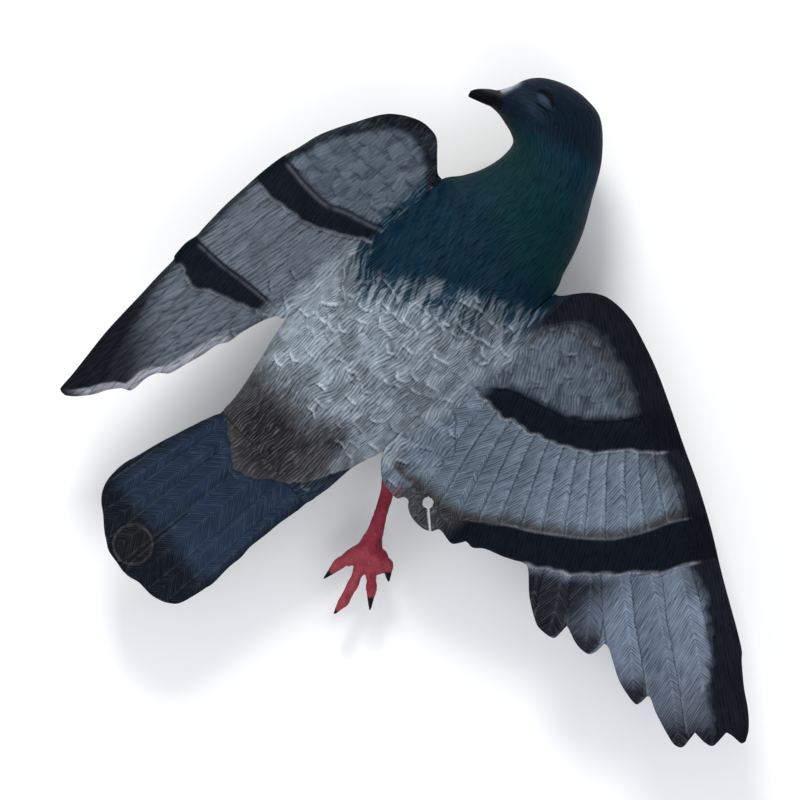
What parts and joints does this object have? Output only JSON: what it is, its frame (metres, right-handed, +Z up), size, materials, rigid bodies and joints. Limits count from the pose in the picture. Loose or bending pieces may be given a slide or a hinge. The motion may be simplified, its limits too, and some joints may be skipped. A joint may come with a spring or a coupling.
{
  "type": "motion wing bird decoy",
  "caption": "Pigeon-shaped field decoy: painted moulded body with head, tail and legs, two geared flapping wings, a battery drive and a belly socket for a stake.",
  "frame": {"origin": "on the flat belly pad, on the body's centreline", "axes": "+Z up through the bird's back, +Y towards the head along the body, +X towards the bird's right wing"},
  "size_m": [0.3742, 0.331, 0.0751],
  "materials": {
    "painted_back": "moulded polymer, sprayed blue-grey with a dark blue-green head and neck, brushed highlights",
    "painted_belly": "moulded polymer, sprayed pale blue-grey",
    "painted_wing": "moulded polymer, sprayed blue-grey with two black bars and dark tips",
    "painted_tail": "moulded polymer, sprayed slate blue with a dark end band",
    "painted_leg": "moulded polymer, sprayed dull red with dark claws",
    "black_moulding": "fine grained injection moulding",
    "gear_nylon": "natural nylon",
    "steel": "zinc plated",
    "motor_can": "plain drawn can",
    "cell_case": "plain lacquered sleeve",
    "lead_sleeve": "PVC insulation"
  },
  "bodies": {
    "body": {"back_shell": "painted_back", "belly_shell": "painted_belly", "tail_fan": "painted_tail", "right_leg": "painted_leg", "left_leg": "painted_leg", "drive_frame": "black_moulding", "right_hinge_pin": "steel", "left_hinge_pin": "steel", "gearbox": "black_moulding", "motor": "motor_can", "battery_tray": "black_moulding", "battery_cell_1": "cell_case", "battery_cell_2": "cell_case", "battery_cell_3": "cell_case", "battery_cell_4": "cell_case", "battery_contact_rear": "steel", "battery_contact_front": "steel", "stake_socket": "black_moulding", "switch_body": "black_moulding", "shell_screw_1": "steel", "shell_screw_2": "steel", "shell_screw_3": "steel", "shell_screw_4": "steel", "drive_screw_right": "steel", "drive_screw_left": "steel", "battery_lead": "lead_sleeve", "motor_lead": "lead_sleeve"},
    "right_wing": {"right_wing": "painted_wing", "right_rocker": "gear_nylon", "wing_screw_1": "steel", "wing_screw_2": "steel"},
    "left_wing": {"left_wing": "painted_wing", "left_rocker": "gear_nylon", "wing_screw_3": "steel", "wing_screw_4": "steel"},
    "pinion": {"drive_pinion": "steel"},
    "door": {"battery_door": "black_moulding"},
    "switch": {"switch_knob": "black_moulding"}
  },
  "joints": [
    {"name": "right_wing_flap", "type": "hinge", "parent": "body", "child": "right_wing", "pos_m": [0.03, 0.0303, 0.046], "axis": [0, -1, 0], "range_deg": [-14, 22]},
    {"name": "left_wing_flap", "type": "hinge", "parent": "body", "child": "left_wing", "pos_m": [-0.03, 0.0303, 0.046], "axis": [0, 1, 0], "range_deg": [-14, 22]},
    {"name": "pinion_turn", "type": "hinge", "parent": "body", "child": "pinion", "pos_m": [0.00348, 0.0303, 0.01948], "axis": [0, 1, 0], "range_deg": [-56, 88]},
    {"name": "battery_door_hinge", "type": "hinge", "parent": "body", "child": "door", "pos_m": [0, -0.057, 0.0005], "axis": [-1, 0, 0], "range_deg": [0, 100]},
    {"name": "switch_slide", "type": "slide", "parent": "body", "child": "switch", "axis": [0, 1, 0], "range_m": [0, 0.004]}
  ],
  "couplings": [
    {"joint": "left_wing_flap", "follows": "right_wing_flap", "ratio": 1},
    {"joint": "pinion_turn", "follows": "right_wing_flap", "ratio": 4}
  ]
}
